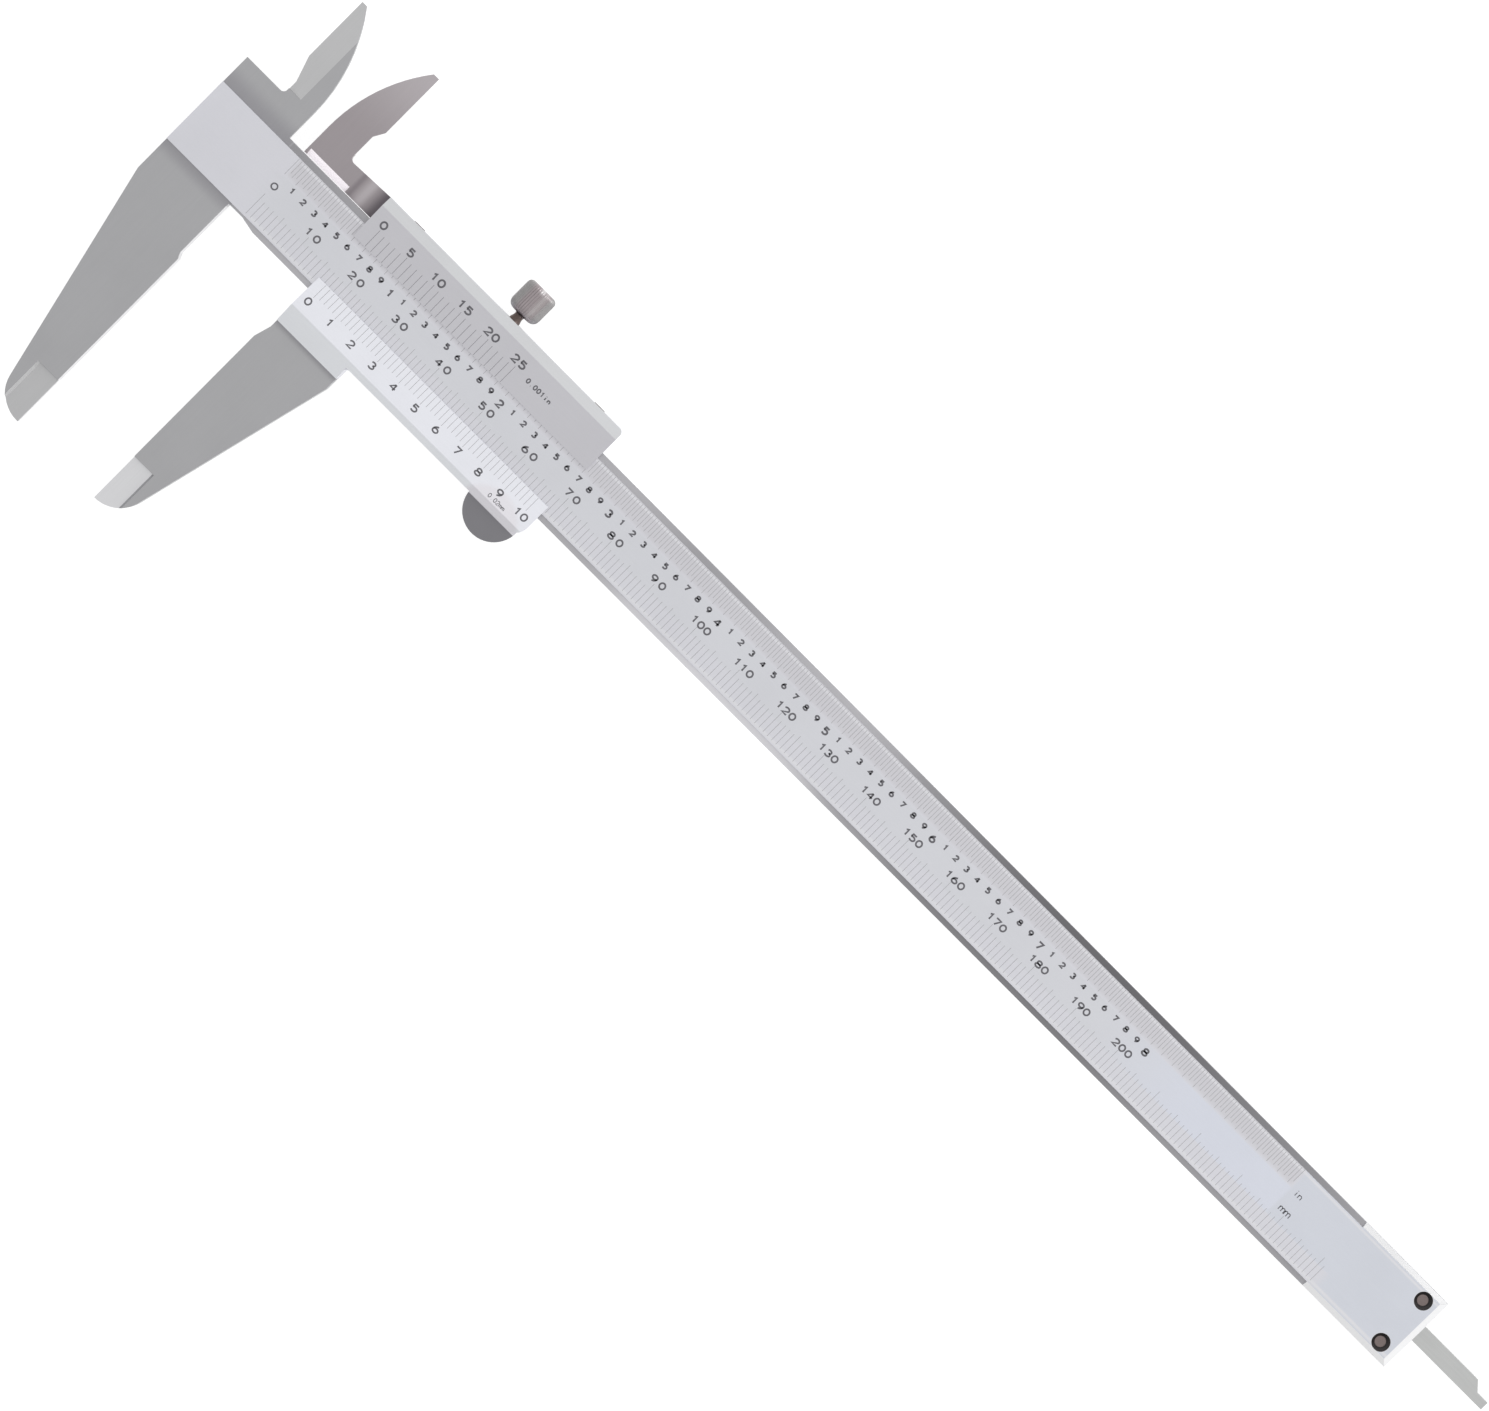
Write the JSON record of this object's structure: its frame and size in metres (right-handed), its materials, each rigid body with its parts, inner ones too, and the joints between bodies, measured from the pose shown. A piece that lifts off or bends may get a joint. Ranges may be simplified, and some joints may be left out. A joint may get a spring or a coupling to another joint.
{
  "type": "vernier caliper",
  "caption": "Vernier caliper with outside jaws, scissor-style inside jaws, sliding frame with metric and inch verniers, knurled clamp screw and depth bar.",
  "frame": {"origin": "on the fixed outside jaw's measuring face, half way through the beam's thickness and 30.3 mm below the beam's lower edge", "axes": "+X along the beam, the way the slider opens; +Y across the beam towards the inside jaws; +Z out of the graduated face"},
  "size_m": [0.3059, 0.0886, 0.0072],
  "materials": {
    "satin_chrome": "satin chrome over ground steel, darker on the ground jaws",
    "brushed_plate": "brushed sheet steel",
    "screw_steel": "dark blued steel",
    "ground_steel": "ground tool steel",
    "clamp_steel": "knurled dull nickel",
    "bronze": "rolled phosphor bronze",
    "brass": "turned brass"
  },
  "bodies": {
    "beam": {"main_beam": "satin_chrome", "stop_plate": "brushed_plate", "stop_screw_upper": "screw_steel", "stop_screw_lower": "screw_steel"},
    "slider": {"slider_frame": "satin_chrome", "back_plate": "brushed_plate", "back_plate_screw_1": "screw_steel", "back_plate_screw_2": "screw_steel", "back_plate_screw_3": "screw_steel", "back_plate_screw_4": "screw_steel", "depth_bar": "ground_steel", "depth_bar_rivet_1": "ground_steel", "depth_bar_rivet_2": "ground_steel", "gib_strip": "bronze", "gib_screw_left": "screw_steel", "gib_screw_right": "screw_steel"},
    "clamp_pad": {"clamp_pad": "brass"},
    "clamp_screw": {"clamp_screw": "clamp_steel"}
  },
  "joints": [
    {"name": "slider_slide", "type": "slide", "parent": "beam", "child": "slider", "axis": [1, 0, 0], "range_m": [-0.0175, 0.1895]},
    {"name": "clamp_pad_slide", "type": "slide", "parent": "slider", "child": "clamp_pad", "axis": [0, -1, 0], "range_m": [-0.001, 0.00038]},
    {"name": "clamp_screw_turn", "type": "hinge", "parent": "clamp_pad", "child": "clamp_screw", "pos_m": [0.0457, 0.05, 0], "axis": [0, -1, 0], "range_deg": [-720, 270]}
  ],
  "couplings": [
    {"joint": "clamp_screw_turn", "follows": "clamp_pad_slide", "rad_per_m": 12566}
  ]
}
